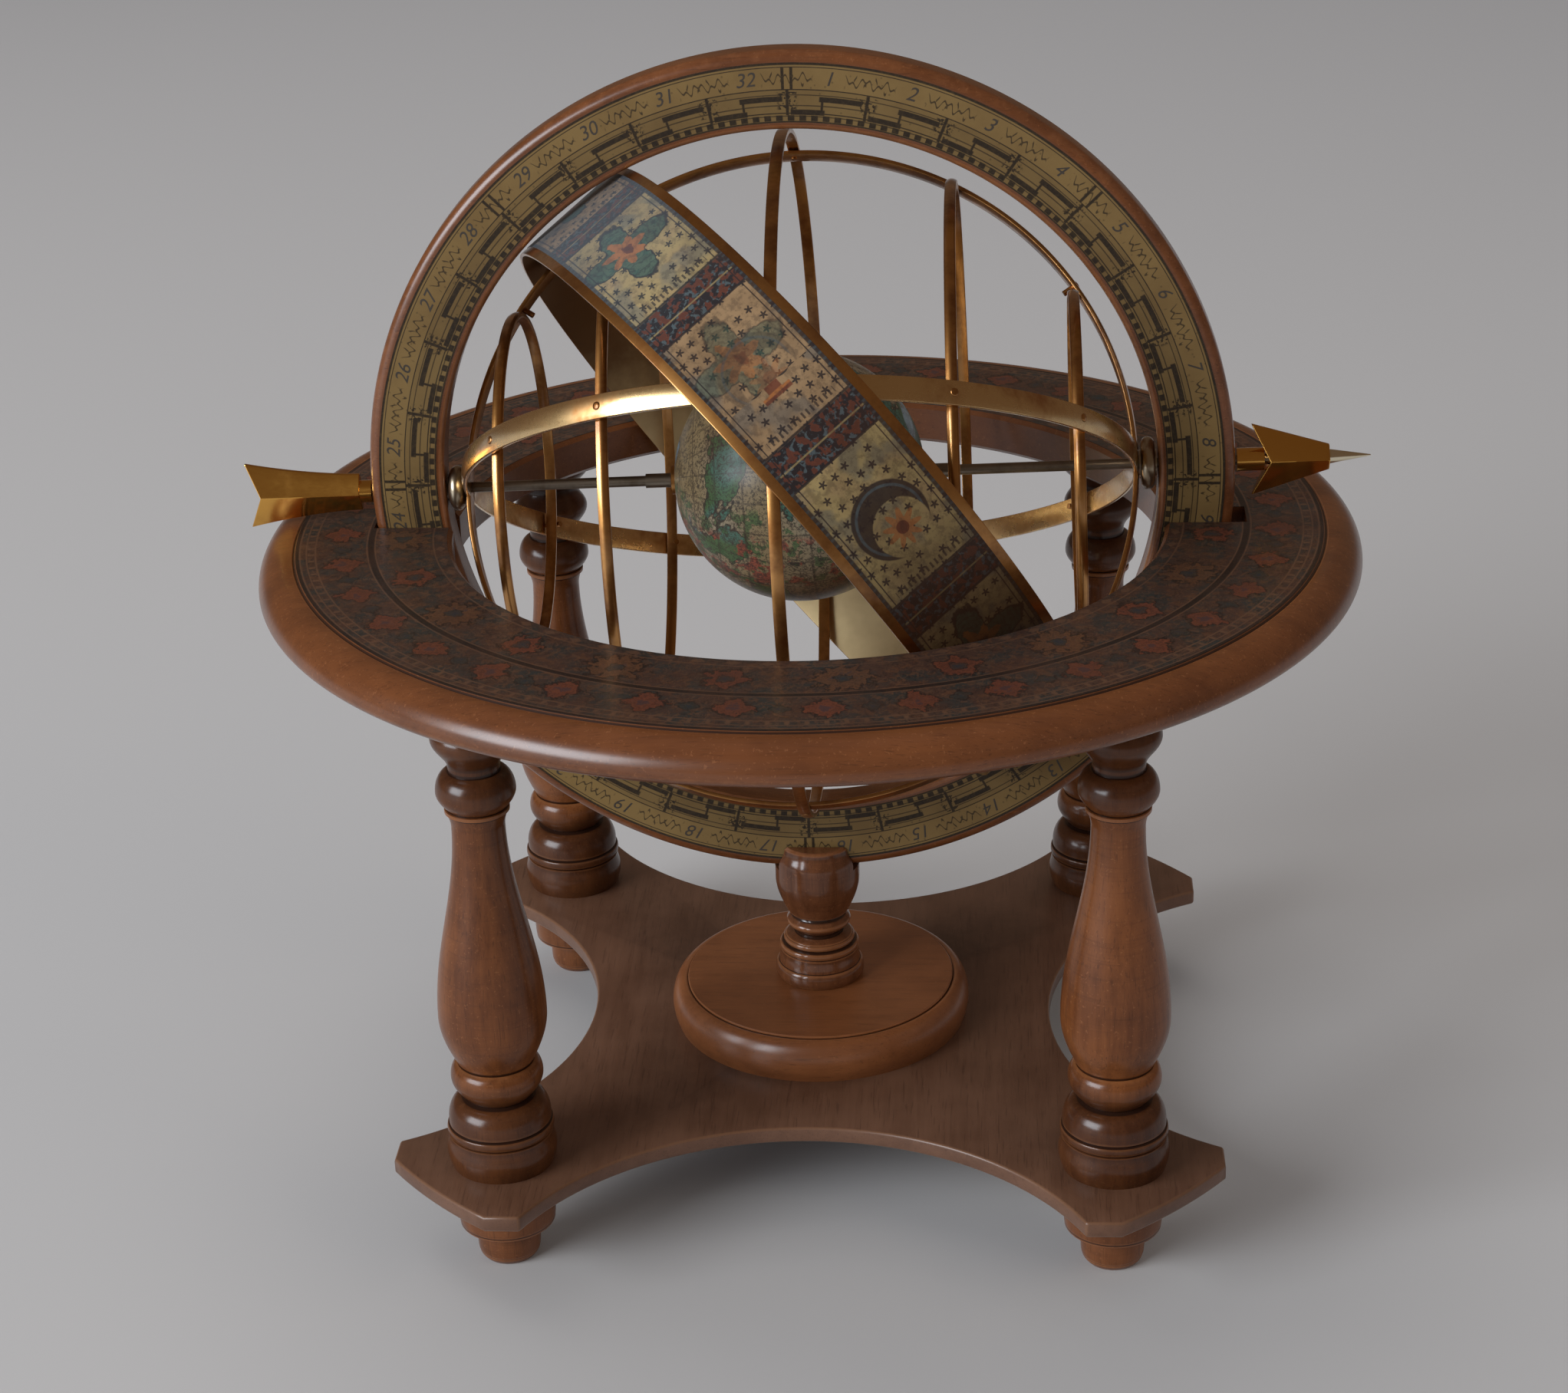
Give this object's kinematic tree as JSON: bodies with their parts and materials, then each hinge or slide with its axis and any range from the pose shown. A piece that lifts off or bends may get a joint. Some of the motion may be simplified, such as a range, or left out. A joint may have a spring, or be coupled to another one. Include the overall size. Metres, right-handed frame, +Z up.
{
  "type": "table globe",
  "caption": "Banded sphere with a slanted broad band and a small globe on an arrow rod, held by an upright ring inside a flat ring on a turned wooden stand.",
  "frame": {"origin": "on the table, under the middle of the stand", "axes": "+Z up, +X along the rod's level direction towards the arrowhead, +Y away from the viewer"},
  "size_m": [0.2657, 0.26, 0.2717],
  "materials": {
    "stained_wood": "satin reddish-brown stain",
    "dark_wood": "satin dark-brown stain",
    "plain_wood": "bare beech, hidden",
    "screw_steel": "zinc plated",
    "horizon_print": "varnished printed paper",
    "meridian_print": "varnished printed paper",
    "zodiac_print": "varnished printed paper",
    "aged_brass": "aged, satin",
    "rod_steel": "dull",
    "globe_map": "varnished printed paper on a shell"
  },
  "bodies": {
    "stand": {"foot_front_left": "stained_wood", "foot_front_right": "stained_wood", "foot_back_left": "stained_wood", "foot_back_right": "stained_wood", "base_plate": "dark_wood", "leg_front_left": "stained_wood", "leg_front_right": "stained_wood", "leg_back_left": "stained_wood", "leg_back_right": "stained_wood", "lower_dowels": "plain_wood", "upper_dowels": "plain_wood", "pedestal_disc": "stained_wood", "pedestal_column": "stained_wood", "pedestal_screw": "screw_steel", "horizon_ring": "stained_wood", "horizon_scale": "horizon_print"},
    "meridian": {"meridian_ring": "stained_wood", "meridian_scale_front": "meridian_print", "meridian_scale_back": "meridian_print", "rod_bush_left": "aged_brass", "rod_bush_right": "aged_brass"},
    "sphere": {"axis_rod": "rod_steel", "arrow_tail": "aged_brass", "tail_collar": "aged_brass", "arrow_head": "aged_brass", "head_collar": "aged_brass", "arrow_needle": "rod_steel", "pole_bead_left": "aged_brass", "pole_spool_right": "aged_brass", "colure_hoop": "aged_brass", "solstice_hoop": "aged_brass", "equator_hoop": "aged_brass", "tropic_hoop_left": "aged_brass", "tropic_hoop_right": "aged_brass", "polar_hoop_left": "aged_brass", "polar_hoop_right": "aged_brass", "zodiac_band": "aged_brass", "zodiac_scale": "zodiac_print", "hoop_rivets": "aged_brass", "globe_sleeve_left": "rod_steel", "globe_sleeve_right": "rod_steel"},
    "globe": {"little_globe": "globe_map", "globe_bush_left": "aged_brass", "globe_bush_right": "aged_brass"}
  },
  "joints": [
    {"name": "meridian_turn", "type": "hinge", "parent": "stand", "child": "meridian", "pos_m": [-0.0015, 0, 0.1699], "axis": [0, 1, 0], "range_deg": [-0.3, 2.2]},
    {"name": "sphere_spin", "type": "hinge", "parent": "meridian", "child": "sphere", "pos_m": [-0.0015, 0, 0.1699], "axis": [0.9996, 0, 0.0297], "continuous": true},
    {"name": "globe_spin", "type": "hinge", "parent": "sphere", "child": "globe", "pos_m": [-0.0015, 0, 0.1699], "axis": [0.9996, 0, 0.0297], "continuous": true}
  ]
}
